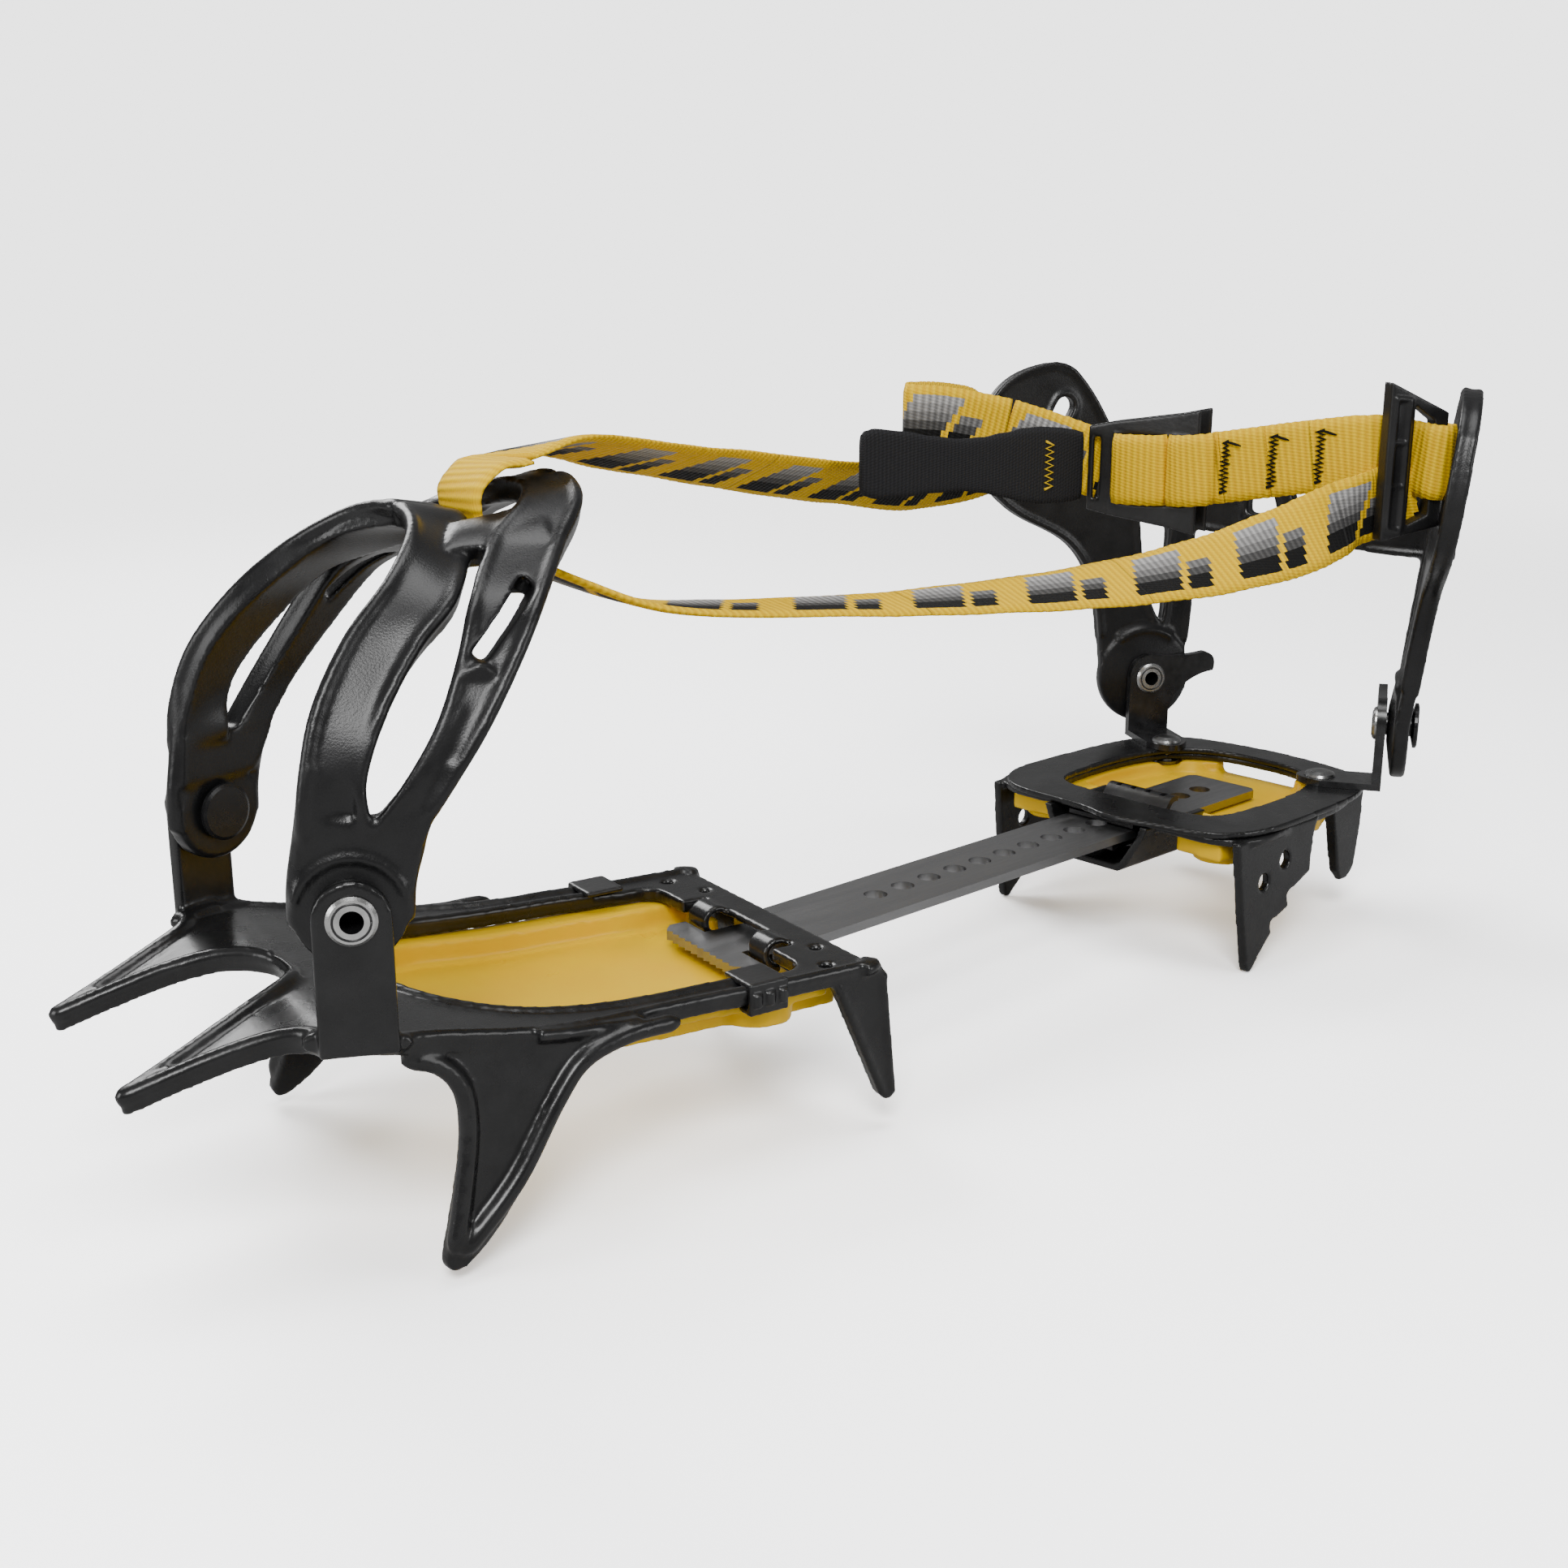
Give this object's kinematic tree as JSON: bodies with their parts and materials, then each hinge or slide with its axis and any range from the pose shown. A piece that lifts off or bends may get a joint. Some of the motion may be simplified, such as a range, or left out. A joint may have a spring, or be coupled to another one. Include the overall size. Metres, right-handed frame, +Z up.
{
  "type": "crampon",
  "caption": "Strap-on mountaineering crampon: pointed front and heel frames on a holed link bar, plastic toe cage and heel cradle, webbing harness with a double-ring buckle.",
  "frame": {"origin": "pivot of the link bar in the front frame, mid-width, on the plane the boot sole rests on", "axes": "+X along the link bar towards the heel, +Y towards the side away from the buckle's ring, +Z up through the boot"},
  "size_m": [0.3398, 0.1429, 0.1365],
  "materials": {
    "forged_black": "semi-gloss",
    "black_steel": "gloss",
    "bar_steel": "satin",
    "rivet_steel": "satin",
    "black_plastic": "satin",
    "yellow_plastic": "gloss",
    "yellow_webbing": "woven",
    "tab_webbing": "woven"
  },
  "bodies": {
    "front": {"front_frame": "forged_black", "front_antiball_plate": "yellow_plastic", "rail_clips": "black_steel", "toe_rivets": "rivet_steel"},
    "toe_cage": {"toe_cage": "black_plastic"},
    "bar": {"link_bar": "bar_steel", "near_strap": "yellow_webbing", "far_strap": "yellow_webbing"},
    "heel": {"heel_ring_plate": "forged_black", "heel_frame": "forged_black", "heel_lugs": "forged_black", "plate_rivets": "black_steel", "heel_rivets": "rivet_steel", "heel_antiball_plate": "yellow_plastic", "adjuster_cover": "black_steel", "adjuster_pin": "rivet_steel", "adjuster_spring": "rivet_steel"},
    "adjuster": {"adjuster_lever": "black_steel"},
    "cradle": {"heel_cradle": "black_plastic", "ankle_loop": "yellow_webbing", "buckle_strap": "yellow_webbing"},
    "ring": {"strap_ring": "black_plastic"},
    "buckle_rear": {"buckle_rear_ring": "black_steel"},
    "buckle_front": {"buckle_front_ring": "black_steel"},
    "tab": {"pull_tab": "tab_webbing"}
  },
  "joints": [
    {"name": "toe_cage_swing", "type": "hinge", "parent": "front", "child": "toe_cage", "pos_m": [-0.09426, 0.01535, 0.0313], "axis": [0.1607, 0.987, 0], "range_deg": [-20, 20], "deforming": ["near_strap", "far_strap"]},
    {"name": "bar_rock", "type": "hinge", "parent": "front", "child": "bar", "pos_m": [-0.00118, 0.00019, -0.0026], "axis": [0.1607, 0.987, 0], "range_deg": [-8, 12]},
    {"name": "heel_slide", "type": "slide", "parent": "bar", "child": "heel", "axis": [1, 0, 0], "range_m": [-0.0255, 0.0255]},
    {"name": "adjuster_press", "type": "hinge", "parent": "heel", "child": "adjuster", "pos_m": [0.134, 0, -0.0084], "axis": [0, -1, 0], "range_deg": [0, 8], "deforming": ["adjuster_spring"]},
    {"name": "cradle_rock", "type": "hinge", "parent": "heel", "child": "cradle", "pos_m": [0.1838, 0, 0.0161], "axis": [0, 1, 0], "range_deg": [-7, 7], "deforming": ["ankle_loop", "buckle_strap"]},
    {"name": "ring_turn", "type": "hinge", "parent": "cradle", "child": "ring", "pos_m": [0.1578, -0.0562, 0.083], "axis": [0, 0, 1], "range_deg": [-12, 2]},
    {"name": "buckle_turn", "type": "hinge", "parent": "cradle", "child": "buckle_rear", "pos_m": [0.1384, -0.0088, 0.0796], "axis": [0, 0, 1], "range_deg": [-3, 10]},
    {"name": "buckle_open", "type": "hinge", "parent": "buckle_rear", "child": "buckle_front", "pos_m": [0.1384, -0.0088, 0.0796], "axis": [0, 0, 1], "range_deg": [0, 10]},
    {"name": "tab_lift", "type": "hinge", "parent": "buckle_front", "child": "tab", "pos_m": [0.1274, 0.0192, 0.0796], "axis": [0, 0, 1], "range_deg": [-2, 25]}
  ]
}
